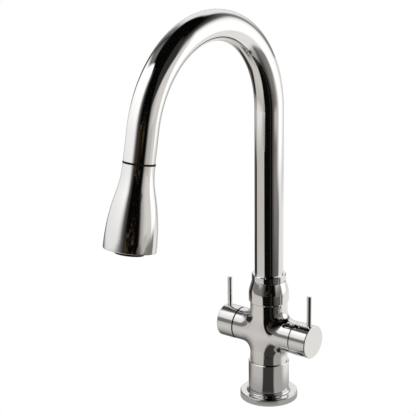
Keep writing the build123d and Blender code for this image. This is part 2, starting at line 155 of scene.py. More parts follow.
class Body(bpy.types.PropertyGroup):
    """Cast body where the column and the two arms melt into one another."""

    column_radius: FloatProperty(
        name="Column radius",
        description="Radius of the upright column",
        default=0.0188,
        min=0.005,
        unit="LENGTH",
    )
    arm_radius: FloatProperty(
        name="Arm radius",
        description="Radius of the arms that carry the handles",
        default=0.0163,
        min=0.005,
        unit="LENGTH",
    )
    blend: FloatProperty(
        name="Blend",
        description="Width over which the column and the arms melt together",
        default=0.010,
        min=0.001,
        unit="LENGTH",
    )
    rim: FloatProperty(
        name="Rim",
        description="Bevel left untouched at each open end of the body",
        default=0.0005,
        min=0,
        unit="LENGTH",
    )
    sides: IntProperty(
        name="Sides",
        description="Faces round each limb of the body",
        default=112,
        min=16,
    )


class Collar(bpy.types.PropertyGroup):
    """Domed collar nut that holds the spout down."""

    band_height: FloatProperty(
        name="Band height",
        description="Height of the straight band below the dome",
        default=0.0099,
        min=0.001,
        unit="LENGTH",
    )
    ease: FloatProperty(
        name="Ease",
        description="Height over which the band turns into the dome",
        default=0.0023,
        min=0.0001,
        unit="LENGTH",
    )
    top_radius: FloatProperty(
        name="Top radius",
        description="Radius of the nut's upper rim",
        default=0.0169,
        min=0.005,
        unit="LENGTH",
    )
    bevel: FloatProperty(
        name="Bevel",
        description="Bevel of the nut's lower edge",
        default=0.0014,
        min=0,
        unit="LENGTH",
    )
    rim: FloatProperty(
        name="Rim",
        description="Bevel of the nut's upper rim",
        default=0.00025,
        min=0,
        unit="LENGTH",
    )
    neck_radius: FloatProperty(
        name="Neck radius",
        description="Radius of the recess that screws onto the body's neck",
        default=0.0181,
        min=0.005,
        unit="LENGTH",
    )
    neck_height: FloatProperty(
        name="Neck height",
        description="Height of the recess that screws onto the body's neck",
        default=0.0093,
        min=0.001,
        unit="LENGTH",
    )
    gap: FloatProperty(
        name="Gap",
        description="Running gap between the nut and the spout",
        default=0.0003,
        min=0,
        precision=4,
        unit="LENGTH",
    )


class Hose(bpy.types.PropertyGroup):
    """Braided hose that runs through the spout to the spray head."""

    arch_radius: FloatProperty(
        name="Arch radius",
        description="Radius of the spout's arch along its middle",
        default=0.0953,
        min=0.01,
        unit="LENGTH",
    )
    braid_pitch: FloatProperty(
        name="Braid pitch",
        description="Length of hose between one crossing of the braid and the next",
        default=0.0024,
        min=0.0005,
        unit="LENGTH",
    )
    strands: IntProperty(
        name="Strands",
        description="Strands of the braid round the hose, in each direction",
        default=12,
        min=4,
    )
    colour: FloatVectorProperty(
        name="Colour",
        description="Colour of the nylon braid",
        default=(0.27, 0.27, 0.28),
        min=0,
        max=1,
        subtype="COLOR",
    )


class Studio(bpy.types.PropertyGroup):
    """Camera, floor and the panels that the chrome reflects."""

    heading: FloatProperty(
        name="Heading",
        description="Direction of the camera round the tap, from the front",
        default=math.radians(37.623),
        subtype="ANGLE",
        unit="ROTATION",
    )
    height: FloatProperty(
        name="Height",
        description="Direction of the camera above the horizon",
        default=math.radians(17.764),
        subtype="ANGLE",
        unit="ROTATION",
    )
    roll: FloatProperty(
        name="Roll",
        description="Tilt of the camera about its own axis",
        default=math.radians(-0.694),
        subtype="ANGLE",
        unit="ROTATION",
    )
    distance: FloatProperty(
        name="Distance",
        description="Distance from the camera to the point that it looks at",
        default=1.3998,
        min=0.1,
        unit="LENGTH",
    )
    table_reach: FloatProperty(
        name="Table reach",
        description="How far the table that the chrome reflects reaches to each side",
        default=3.0,
        min=0.5,
        unit="LENGTH",
    )
    left_box: FloatProperty(
        name="Left soft box",
        description="Distance of the soft box on the left",
        default=0.32,
        min=0.1,
        unit="LENGTH",
    )
    right_box: FloatProperty(
        name="Right soft box",
        description="Distance of the soft box on the right",
        default=0.58,
        min=0.1,
        unit="LENGTH",
    )
    flag: FloatProperty(
        name="Flag",
        description="Distance of the dark cloth on the right",
        default=0.25,
        min=0.1,
        unit="LENGTH",
    )
    screen: FloatProperty(
        name="Screen",
        description="Distance of the low grey screen on the right",
        default=0.20,
        min=0.1,
        unit="LENGTH",
    )
    target: FloatVectorProperty(
        name="Target",
        description="Point that the camera looks at",
        default=(0.0, -0.0979, 0.2254),
        subtype="TRANSLATION",
        unit="LENGTH",
    )
    lens: FloatProperty(
        name="Lens",
        description="Focal length on a 36 mm sensor, in millimetres",
        default=130.82,
        min=1,
    )
    floor_radius: FloatProperty(
        name="Floor radius",
        description="Radius of the white board that the tap stands on",
        default=0.125,
        min=0.05,
        unit="LENGTH",
    )


class Value:
    """A number that changes over a surface, for use in arithmetic."""

    def __init__(self, tree, socket):
        self.tree = tree
        self.socket = socket

    def maths(self, operation, *others):
        """Result of a Math node on this value and others."""
        settings = {"operation": operation}
        sockets = dict(enumerate((self, *others)))
        made = self.tree.node("ShaderNodeMath", settings, sockets)
        return Value(self.tree, made.outputs[0])

    def __add__(self, other):
        return self.maths("ADD", other)

    def __radd__(self, other):
        return self.maths("ADD", other)

    def __sub__(self, other):
        return self.maths("SUBTRACT", other)

    def __rsub__(self, other):
        settings = {"operation": "SUBTRACT"}
        made = self.tree.node("ShaderNodeMath", settings, {0: other, 1: self})
        return Value(self.tree, made.outputs[0])

    def __mul__(self, other):
        return self.maths("MULTIPLY", other)

    def __rmul__(self, other):
        return self.maths("MULTIPLY", other)

    def __abs__(self):
        return self.maths("ABSOLUTE")

    def smooth(self, low, high):
        """0 at low, 1 at high and a soft step between them."""
        settings = {"interpolation_type": "SMOOTHSTEP"}
        sockets = {"Value": self, "From Min": low, "From Max": high}
        made = self.tree.node("ShaderNodeMapRange", settings, sockets)
        return Value(self.tree, made.outputs["Result"])


class Tree:
    """A node tree that nodes are added to by type, settings and sockets."""

    def __init__(self, tree):
        self.tree = tree
        tree.nodes.clear()

    def node(self, kind, settings=None, sockets=None):
        """Add a node, set it up, and give its sockets their values or links."""
        made = self.tree.nodes.new(kind)
        for name, value in (settings or {}).items():
            setattr(made, name, value)
        for name, value in (sockets or {}).items():
            if isinstance(value, Value):
                value = value.socket
            if isinstance(value, bpy.types.NodeSocket):
                self.tree.links.new(value, made.inputs[name])
            else:
                made.inputs[name].default_value = value
        return made

    def mix(self, factor, first, second):
        """Colour between two colours."""
        settings = {"data_type": "RGBA"}
        sockets = {0: factor, 6: first, 7: second}
        return self.node("ShaderNodeMix", settings, sockets).outputs[2]

    def parts(self, vector):
        """The three parts of a vector, each as a value."""
        split = self.node("ShaderNodeSeparateXYZ", None, {"Vector": vector})
        return [Value(self, split.outputs[axis]) for axis in "XYZ"]

    def place(self):
        """Place on the piece, in metres, which moves with it."""
        return self.node("ShaderNodeTexCoord").outputs["Object"]

    def noise(self, scale, detail, vector=None):
        """Cloudy pattern from 0 to 1 with a number of patches to the metre."""
        sockets = {"Vector": vector or self.place(), "Scale": scale, "Detail": detail}
        return Value(self, self.node("ShaderNodeTexNoise", None, sockets).outputs["Fac"])

    def bump(self, height, distance):
        """Normal of a surface that rises by distance where height is 1."""
        sockets = {"Height": height, "Distance": distance, "Strength": 1.0}
        return self.node("ShaderNodeBump", None, sockets).outputs["Normal"]


def opaque(colour):
    """Colour with nothing of it see-through."""
    return (*colour[:3], 1.0)


def shade(colour, share):
    """Colour made darker or lighter by a share."""
    return tuple(min(1.0, channel * share) for channel in colour[:3]) + (1.0,)


def finish(name, build):
    """A material whose surface a function makes from the tree that it is given."""
    material = bpy.data.materials.new(name)
    material.use_nodes = True
    tree = Tree(material.node_tree)
    surface = tree.node("ShaderNodeBsdfPrincipled", None, build(tree))
    tree.node("ShaderNodeOutputMaterial", None, {"Surface": surface.outputs["BSDF"]})
    return material


def polished_chrome(settings):
    """Mirror plate with faint smears, water marks and a slow ripple."""

    def build(tree):
        smears = tree.noise(scale=45, detail=3).smooth(0.5, 0.75)
        marks = tree.noise(scale=420, detail=4).smooth(0.6, 0.78)
        ripple = tree.noise(scale=28, detail=1)
        grain = tree.noise(scale=2600, detail=2)
        haze = smears * 0.7 + marks * 0.3
        clean, hazy = opaque(settings.colour), shade(settings.colour, 0.93)
        return {
            "Base Color": tree.mix(haze * 0.25, clean, hazy),
            "Metallic": 1.0,
            "Roughness": haze * settings.haze + grain * 0.006 + settings.roughness,
            "Normal": tree.bump(ripple, settings.waviness),
        }

    return finish("polished_chrome", build)


def machined_brass():
    """Turned brass with fine tool marks and a little tarnish."""

    def build(tree):
        tarnish = tree.noise(scale=160, detail=4)
        marks = tree.noise(scale=2400, detail=1)
        bright, dull = (0.78, 0.58, 0.28, 1.0), (0.50, 0.34, 0.15, 1.0)
        return {
            "Base Color": tree.mix(tarnish, bright, dull),
            "Metallic": 1.0,
            "Roughness": tarnish * 0.18 + marks * 0.08 + 0.14,
            "Normal": tree.bump(marks, distance=0.00001),
        }

    return finish("machined_brass", build)


def moulded_black(settings):
    """Black acetal with a fine moulded grain."""

    def build(tree):
        grain = tree.noise(scale=3200, detail=2)
        wear = tree.noise(scale=240, detail=3)
        return {
            "Base Color": tree.mix(wear, opaque(settings.black), shade(settings.black, 1.8)),
            "Roughness": wear * 0.16 + grain * 0.08 + 0.48,
            "Normal": tree.bump(grain, distance=0.00003),
            "Specular IOR Level": 0.08,
        }

    return finish("moulded_black", build)


def natural_acetal(settings):
    """Undyed bearing plastic, slightly translucent and satin."""

    def build(tree):
        cloud = tree.noise(scale=300, detail=3)
        grain = tree.noise(scale=4000, detail=1)
        return {
            "Base Color": tree.mix(cloud, opaque(settings.natural), shade(settings.natural, 0.93)),
            "Roughness": cloud * 0.12 + 0.32,
            "Normal": tree.bump(grain, distance=0.00001),
            "Subsurface Weight": 0.05,
        }

    return finish("natural_acetal", build)


def moulded_rubber(settings):
    """Dark rubber with a dusty bloom."""

    def build(tree):
        bloom = tree.noise(scale=500, detail=5)
        grain = tree.noise(scale=5200, detail=2)
        return {
            "Base Color": tree.mix(bloom, opaque(settings.rubber), shade(settings.rubber, 2.2)),
            "Roughness": bloom * 0.2 + 0.5,
            "Normal": tree.bump(grain, distance=0.00003),
        }

    return finish("moulded_rubber", build)


def lapped_ceramic():
    """Alumina disc, lapped to a dull shine."""

    def build(tree):
        lap = tree.noise(scale=6000, detail=1)
        cloud = tree.noise(scale=220, detail=3)
        white, ivory = (0.88, 0.88, 0.86, 1.0), (0.80, 0.80, 0.78, 1.0)
        return {
            "Base Color": tree.mix(cloud, white, ivory),
            "Roughness": lap * 0.1 + 0.12,
            "Normal": tree.bump(lap, distance=0.000004),
        }

    return finish("lapped_ceramic", build)


def stainless_screw():
    """Stainless steel with fine tool marks."""

    def build(tree):
        marks = tree.noise(scale=3600, detail=2)
        bright, dull = (0.50, 0.49, 0.48, 1.0), (0.38, 0.38, 0.37, 1.0)
        return {
            "Base Color": tree.mix(marks, bright, dull),
            "Metallic": 1.0,
            "Roughness": marks * 0.2 + 0.22,
            "Normal": tree.bump(marks, distance=0.00001),
        }

    return finish("stainless_screw", build)


def nylon_braid(settings):
    """Nylon strands that cross in a close braid, with one dark strand in four."""

    def build(tree):
        uv = tree.node("ShaderNodeUVMap", {"uv_map": "braid"}).outputs["UV"]
        around, along, _depth = tree.parts(uv)
        left = (around + along).maths("FRACT")
        right = (around - along).maths("FRACT")
        over = (around * 0.5 + along * 0.5).maths("FRACT").smooth(0.48, 0.52)
        left_round = 1 - abs(left * 2 - 1)
        right_round = 1 - abs(right * 2 - 1)
        crown = left_round * over + right_round * (1 - over)
        groove = crown.smooth(0.0, 0.35)
        fibres = tree.noise(scale=5200, detail=2)
        dark = ((around + along) * 0.25).maths("FRACT").smooth(0.74, 0.76)
        yarn = tree.mix(dark * 0.8, opaque(settings.colour), shade(settings.colour, 0.25))
        # Painted shade: the colour darkens to near black in the hollows between the strands, and a little even on
        # their crowns.
        hollow_shade = (0.03, 0.03, 0.03, 1.0)
        return {
            "Base Color": tree.mix(1 - groove * 0.75, yarn, hollow_shade),
            "Roughness": fibres * 0.2 + 0.38,
            "Normal": tree.bump(groove * 0.9 + fibres * 0.1, distance=0.00025),
            "Sheen Weight": 0.15,
        }

    return finish("nylon_braid", build)


def dress(material, slot):
    """Give a material to every solid of one slot."""
    for row in frame["record"]["subparts"]:
        if row["material_slot"] == slot:
            mesh = nodes[row["node"]].data
            mesh.materials.clear()
            mesh.materials.append(material)


def mesh_object(name, mesh, material):
    """Link a mesh as a smooth object with a material."""
    mesh.materials.clear()
    mesh.materials.append(material)
    for face in mesh.polygons:
        face.use_smooth = True
    made = bpy.data.objects.new(name, mesh)
    bpy.context.scene.collection.objects.link(made)
    return made


class TAP_OT_metal(bpy.types.Operator):
    """Finish the chromed, brass and steel pieces"""

    bl_idname = "tap.metal"
    bl_label = "Finish Metal"

    def execute(self, context):
        dress(polished_chrome(context.scene.tap_chrome), "chrome")
        dress(machined_brass(), "brass")
        dress(stainless_screw(), "screw_steel")
        return {"FINISHED"}


class TAP_OT_plastics(bpy.types.Operator):
    """Finish the plastic, rubber and ceramic pieces"""

    bl_idname = "tap.plastics"
    bl_label = "Finish Plastics"

    def execute(self, context):
        settings = context.scene.tap_plastics
        dress(moulded_black(settings), "black_plastic")
        dress(natural_acetal(settings), "bearing_plastic")
        dress(moulded_rubber(settings), "rubber")
        dress(lapped_ceramic(), "ceramic")
        return {"FINISHED"}


def body_gap(point, settings):
    """Distance from a point to the skin of the column and arms, melted together."""
    column = math.hypot(point.x, point.y) - settings.column_radius
    arm = math.hypot(point.y, point.z) - settings.arm_radius
    share = min(1.0, max(0.0, 0.5 + (arm - column) / settings.blend / 2))
    return arm + (column - arm) * share - settings.blend * share * (1 - share)


def body_skin(direction, settings):
    """Point of the body's skin in a direction from the middle of its crossing."""
    outside = 0.1
    halvings = 26
    near, far = 0.0, outside
    for _halving in range(halvings):
        middle = (near + far) / 2
        if body_gap(direction * middle, settings) < 0:
            near = middle
        else:
            far = middle
    return direction * near


class TAP_OT_body(bpy.types.Operator):
    """Give the cast body a skin in which the column and the arms flow together"""

    bl_idname = "tap.body"
    bl_label = "Shape Body"

    def execute(self, context):
        settings = context.scene.tap_body
        middle = Vector(joint("left_handle_turn")["pos_m"])
        middle.x = 0
        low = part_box("pedestal_sleeve")[1].z + settings.rim - middle.z
        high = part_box("collar_nut")[0].z - middle.z
        reach = -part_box("left_glide_ring")[1].x - settings.rim
        seam_tolerance = 1e-6
        crease = math.radians(30)
        mesh = nodes["cross_body"].data.copy()
        mesh.name = "cast_body"
        form = bmesh.new()
        form.from_mesh(mesh)
        plain = [
            face
            for face in form.faces
            if self.on_skin(face.calc_center_median() - middle, low, high, reach, settings)
        ]
        bmesh.ops.delete(form, geom=plain, context="FACES")
        across, up, front = Vector((1, 0, 0)), Vector((0, 0, 1)), Vector((0, -1, 0))
        added = []
        for limb, other, radius, length in (
            (across, up, settings.arm_radius, reach),
            (-across, up, settings.arm_radius, reach),
            (up, across, settings.column_radius, high),
            (-up, across, settings.column_radius, -low),
        ):
            added += self.limb(form, middle, limb, front, other, radius, length, settings)
        corners = list({corner for face in added for corner in face.verts})
        bmesh.ops.remove_doubles(form, verts=corners, dist=seam_tolerance)
        bmesh.ops.recalc_face_normals(form, faces=[face for face in added if face.is_valid])
        form.to_mesh(mesh)
        form.free()
        if "custom_normal" in mesh.attributes:
            mesh.attributes.remove(mesh.attributes["custom_normal"])
        mesh.set_sharp_from_angle(angle=crease)
        made = mesh_object("cast_body", mesh, mesh.materials[0])
        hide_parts("cross_body")
        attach(made, "tap_body")
        return {"FINISHED"}

    def on_skin(self, place, low, high, reach, settings):
        """Whether the new skin takes over the plain solid's face at a place."""
        slack = 0.0003  # the middle of a flat facet lies a little inside the round
        column = math.hypot(place.x, place.y) - settings.column_radius
        arm = math.hypot(place.y, place.z) - settings.arm_radius
        if not (low < place.z < high - slack and abs(place.x) < reach):
            return False
        return column > -slack or (arm > -slack and abs(place.x) > settings.column_radius / 2)

    def limb(self, form, middle, limb, front, other, radius, length, settings):
        """Skin of one limb, from its open end to where it meets its neighbours."""
        rows = settings.sides // 4
        start = math.atan2(radius, length)
        rings = []
        for side in range(settings.sides):
            angle = 2 * math.pi * side / settings.sides
            out = front * math.cos(angle) + other * math.sin(angle)
            stop = math.atan2(1, abs(math.sin(angle)))
            column = []
            for row in range(rows + 1):
                lean = start + (stop - start) * row / rows
                place = body_skin(limb * math.cos(lean) + out * math.sin(lean), settings)
                column.append(form.verts.new(place + middle))
            rings.append(column)
        faces = []
        for side, column in enumerate(rings):
            after = rings[(side + 1) % settings.sides]
            for row in range(rows):
                corners = (column[row], column[row + 1], after[row + 1], after[row])
                faces.append(form.faces.new(corners))
        return faces


def turned(name, profile, sides, material):
    """Ring about the column's axis, from a closed profile of radius and height."""
    crease = math.radians(25)
    form = bmesh.new()
    rows = []
    for side in range(sides):
        angle = 2 * math.pi * side / sides
        x, y = math.cos(angle), math.sin(angle)
        rows.append([form.verts.new((radius * x, radius * y, z)) for radius, z in profile])
    for row, after in zip(rows, rows[1:] + rows[:1]):
        for corner in range(len(profile)):
            following = (corner + 1) % len(profile)
            form.faces.new((row[corner], row[following], after[following], after[corner]))
    bmesh.ops.recalc_face_normals(form, faces=form.faces)
    mesh = bpy.data.meshes.new(name)
    form.to_mesh(mesh)
    form.free()
    mesh.set_sharp_from_angle(angle=crease)
    return mesh_object(name, mesh, material)


class TAP_OT_collar(bpy.types.Operator):
    """Turn the domed collar nut"""

    bl_idname = "tap.collar"
    bl_label = "Turn Collar"

    def execute(self, context):
        settings = context.scene.tap_collar
        low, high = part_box("collar_nut")
        foot, top, radius = low.z, high.z, high.x
        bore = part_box("spout_tube")[1].x + settings.gap
        band = foot + settings.band_height
        profile = [
            (settings.neck_radius, foot),
            (radius - settings.bevel, foot),
            (radius, foot + settings.bevel),
        ]
        dome_height = top - settings.rim - band
        steps = 14
        for step in range(steps + 1):
            share = step / steps
            reach = radius - (radius - settings.top_radius) * share * share
            rise = 2 * share * (1 - share) * settings.ease + share * share * dome_height
            profile.append((reach, band + rise))
        profile += [
            (settings.top_radius - settings.rim, top),
            (bore, top),
            (bore, foot + settings.neck_height),
            (settings.neck_radius, foot + settings.neck_height),
        ]
        sides = 128
        made = turned("domed_collar", profile, sides, nodes["collar_nut"].data.materials[0])
        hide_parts("collar_nut")
        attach(made, "tap_body")
        return {"FINISHED"}


def hose_path(settings):
    """Middle line of the hose as a function of the length from the spout's foot."""
    turn = math.atan2(-head_axis.y, head_axis.z)
    radius = settings.arch_radius
    tip = (-mouth.y - radius * (1 - math.cos(turn))) / math.sin(turn)
    leg_top = mouth.z - radius * math.sin(turn) - tip * math.cos(turn)
    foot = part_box("spray_hose")[0].z
    leg = leg_top - foot
    arch = radius * turn

    def place(length):
        """Point and heading at a length along the hose."""
        if length < leg:
            return Vector((0, 0, foot + length)), Vector((0, 0, 1))
        if length < leg + arch:
            angle = (length - leg) / radius
            point = Vector((0, radius * (math.cos(angle) - 1), leg_top + radius * math.sin(angle)))
            return point, Vector((0, -math.sin(angle), math.cos(angle)))
        return mouth + head_axis * (length - leg - arch - tip), head_axis.copy()

    return place, leg + arch, leg + arch + tip


class TAP_OT_hose(bpy.types.Operator):
    """Lay the braided hose through the spout, with a tip whose braid is packed closer for the spray head's travel
    """

    bl_idname = "tap.hose"
    bl_label = "Lay Hose"

    def execute(self, context):
        settings = context.scene.tap_hose
        place, bend_end, mouth_length = hose_path(settings)
        low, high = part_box("spray_hose")
        radius = (high.x - low.x) / 2
        corners = [vertex.co for vertex in nodes["spray_hose"].data.vertices]
        outside = [corner - mouth for corner in corners if corner.y < mouth.y]
        length = mouth_length + max(offset.dot(head_axis) for offset in outside)
        material = nylon_braid(settings)
        run = self.tube(
            "hose_run", place, 0.0, bend_end, radius, material, settings, rings=260, stretch=0.0
        )
        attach(run, "spout")
        tip = self.tube(
            "hose_tip", place, bend_end, length, radius, material, settings, rings=220, stretch=travel
        )
        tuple(place(bend_end)[0])
        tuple(place(length)[0])
        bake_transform(tip)
        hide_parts("spray_hose")
        return {"FINISHED"}

    def tube(self, name, place, start, stop, radius, material, settings, rings, stretch):
        """Tube whose braid keeps its size when the far end is drawn out by a stretch."""
        crease = math.radians(50)
        sides = settings.strands * 2
        strand = settings.strands / sides
        form = bmesh.new()
        layer = form.loops.layers.uv.new("braid")
        rows = []
        for ring in range(rings + 1):
            share = ring / rings
            length = start + (stop - start) * share
            drawn = length + stretch * share * share * (3 - 2 * share)
            point, along = place(length)
            up = along.cross(head_side)
            row = []
            for side in range(sides):
                angle = 2 * math.pi * side / sides
                out = head_side * math.cos(angle) + up * math.sin(angle)
                row.append(form.verts.new(point + out * radius))
            rows.append((row, drawn / settings.braid_pitch))
        for (row, near), (after, far) in zip(rows, rows[1:]):
            for side in range(sides):
                following = (side + 1) % sides
                face = form.faces.new((row[side], row[following], after[following], after[side]))
                corners = ((side, near), (side + 1, near), (side + 1, far), (side, far))
                for loop, (turn, station) in zip(face.loops, corners):
                    loop[layer].uv = (turn * strand, station)
        for row, _length in (rows[0], rows[-1]):
            form.faces.new(row)
        bmesh.ops.recalc_face_normals(form, faces=form.faces)
        mesh = bpy.data.meshes.new(name)
        form.to_mesh(mesh)
        form.free()
        mesh.set_sharp_from_angle(angle=crease)
        return mesh_object(name, mesh, material)


class TAP_OT_nubs(bpy.types.Operator):
    """Round the soft nubs of the spray face, each with its jet"""

    bl_idname = "tap.nubs"
    bl_label = "Shape Nubs"

    def execute(self, context):
        seam_tolerance = 1e-7
        solid = bmesh.new()
        solid.from_mesh(nodes["spray_nubs"].data)
        bmesh.ops.remove_doubles(solid, verts=solid.verts, dist=seam_tolerance)
        form = bmesh.new()
        for island in self.islands(solid):
            self.nub(form, island)
        solid.free()
        mesh = bpy.data.meshes.new("jet_nubs")
        form.to_mesh(mesh)
        form.free()
        made = mesh_object("jet_nubs", mesh, nodes["spray_nubs"].data.materials[0])
        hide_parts("spray_nubs")
        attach(made, "spray_head")
        return {"FINISHED"}

    def islands(self, solid):
        """Places of the corners of each separate nub."""
        seen = set()
        for corner in solid.verts:
            if corner in seen:
                continue
            island, queue = [], [corner]
            seen.add(corner)
            while queue:
                each = queue.pop()
                island.append(each.co.copy())
                for edge in each.link_edges:
                    other = edge.other_vert(each)
                    if other not in seen:
                        seen.add(other)
                        queue.append(other)
            yield island

    def nub(self, form, island):
        """A nub that tapers to a rounded lip round its jet."""
        middle = sum(island, Vector()) / len(island)
        offsets = [place - middle for place in island]
        stations = [offset.dot(head_axis) for offset in offsets]
        pairs = zip(offsets, stations)
        radius = max((offset - head_axis * station).length for offset, station in pairs)
        root, tip = min(stations), max(stations)
        height = tip - root
        profile = (
            (root, radius),
            (root + height * 0.55, radius * 0.90),
            (root + height * 0.86, radius * 0.80),
            (tip, radius * 0.55),
            (tip - height * 0.02, radius * 0.38),
            (tip - height * 0.30, radius * 0.30),
        )
        sides = 16
        rows = []
        for station, reach in profile:
            row = []
            for side in range(sides):
                angle = 2 * math.pi * side / sides
                out = head_side * math.cos(angle) + head_up * math.sin(angle)
                row.append(form.verts.new(middle + head_axis * station + out * reach))
            rows.append(row)
        faces = [form.faces.new(rows[-1]), form.faces.new(rows[0])]
        for row, after in zip(rows, rows[1:]):
            for side in range(sides):
                following = (side + 1) % sides
                corners = (row[side], row[following], after[following], after[side])
                faces.append(form.faces.new(corners))
        bmesh.ops.recalc_face_normals(form, faces=faces)


def between(value, low, high, low_blur, high_blur):
    """1 between low and high, with a soft step at each."""
    rise = value.smooth(low - low_blur, low + low_blur)
    return rise * value.smooth(high + high_blur, high - high_blur)


def grey(level, warmth=0.0):
    """Light that the chrome shows as this grey, from 0 to 255, on the screen."""
    reflectance = 0.77
    value = level / 255
    linear = value / 12.92 if value <= 0.04045 else ((value + 0.055) / 1.055) ** 2.4
    linear = linear / reflectance
    return (linear * (1 + warmth), linear, linear * (1 - warmth), 1.0)


def walls_light(tree, heading):
    """Light from the far walls of the studio, in degrees round the camera's heading."""
    direction = tree.node("ShaderNodeTexCoord").outputs["Generated"]
    east, north, up = tree.parts(direction)
    bearing = east.maths("ARCTAN2", north * -1) * math.degrees(1) - math.degrees(heading)
    height = up.maths("ARCSINE") * math.degrees(1)

    def panel(left, right, low, high, side_blur, end_blur):
        """Mask of a stretch of wall, in degrees, soft at its sides and its two ends."""
        middle = (left + right) / 2
        half = (right - left) / 2
        off = abs((bearing - middle).maths("WRAP", -180.0, 180.0))
        side = off.smooth(half + side_blur, half - side_blur)
        return side * between(height, low, high, end_blur, end_blur)

    flattened = {0: direction, 1: (1, 1, 3)}
    drawn = tree.node("ShaderNodeVectorMath", {"operation": "MULTIPLY"}, flattened)
    patches = tree.noise(scale=6, detail=4, vector=drawn.outputs["Vector"]).smooth(0.44, 0.68)
    brown_patches = patches * panel(left=-22, right=14, low=-12, high=16, side_blur=6, end_blur=6)
    light = tree.mix(brown_patches, grey(5), grey(54, 0.5))
    back_strip = panel(left=-170, right=-149, low=5, high=52, side_blur=4, end_blur=4)
    light = tree.mix(back_strip, light, grey(105, 0.02))
    left_wall = panel(left=-139, right=-36, low=-27, high=57, side_blur=18, end_blur=6)
    light = tree.mix(left_wall, light, grey(112, 0.03))
    right_wall = panel(left=45, right=180, low=-80, high=32, side_blur=18, end_blur=20)
    light = tree.mix(right_wall, light, grey(122, 0.03))
    low_right_light = tree.mix(bearing.smooth(36, 66), grey(145, 0.05), grey(203, 0.03))
    low_right_wall = panel(left=38, right=130, low=-80, high=24, side_blur=5, end_blur=8)
    light = tree.mix(low_right_wall, light, low_right_light)
    pale_back = panel(left=149, right=196, low=3, high=46, side_blur=8, end_blur=5)
    return tree.mix(pale_back, light, grey(222))


def studio_place(tree):
    """Place in the studio: to the camera's right, towards the camera, and up."""
    right, back, up = tree.parts(tree.place())
    return right, back * -1, up


def table_light(tree):
    """Tabletop: pale at both sides, dark in front and behind on the left."""
    right, front, _up = studio_place(tree)
    bearing = right.maths("ARCTAN2", front) * math.degrees(1)
    reach = (right * right + front * front).maths("SQRT")
    near_left = tree.mix(bearing.smooth(-135, -85), grey(80, 0.03), grey(182, 0.03))
    far_left = tree.mix(reach.smooth(0.25, 0.6), grey(196, 0.04), grey(186, 0.06))
    left = tree.mix(reach.smooth(0.08, 0.18), near_left, far_left)
    light = tree.mix(right.smooth(0.0, 0.11), left, grey(226, 0.02))
    # Painted shadow of the tap's foot on the table, darkest close to the flange.
    contact_shadow = reach.smooth(0.09, 0.04) * 0.5
    light = tree.mix(contact_shadow, light, grey(120, 0.03))
    dark = front.smooth(0.03, 0.13) * (right * 1.1 + front).smooth(0.01, 0.07)
    light = tree.mix(dark, light, grey(9))
    streak = dark * abs(bearing - 9).smooth(6, 2)
    light = tree.mix(streak, light, grey(34, 0.15))
    wood = tree.mix(bearing.smooth(28, 68), grey(85, 0.08), grey(140, 0.06))
    wooden = dark * bearing.smooth(20, 30) * reach.smooth(-0.4, 0.9)
    light = tree.mix(wooden, light, wood)
    far_right = bearing.smooth(30, 50) * reach.smooth(0.95, 1.15)
    light = tree.mix(far_right, light, grey(180, 0.04))
    right_end = bearing.smooth(58, 74) * reach.smooth(0.6, 0.85)
    light = tree.mix(right_end, light, grey(205, 0.03))
    near_right = between(bearing, 24, 75, 6, 15) * reach.smooth(0.22, 0.12)
    light = tree.mix(near_right, light, grey(160, 0.03))
    front_shadow = between(bearing, -33, 21, 4, 4) * between(reach, 0.04, 0.135, 0.01, 0.015)
    light = tree.mix(front_shadow, light, grey(53, 0.05))
    back_corner = between(bearing, -165, -111, 12, 6) * between(reach, 0.27, 1.0, 0.05, 0.6)
    light = tree.mix(back_corner, light, grey(45, 0.05))
    return tree.mix(tree.noise(scale=7, detail=3) * 0.12, light, grey(0))


def upright(right, first, last, low, high):
    """Corners of an upright sheet on the right, between two places towards the camera."""
    return [(right, -first, low), (right, -last, low), (right, -last, high), (right, -first, high)]


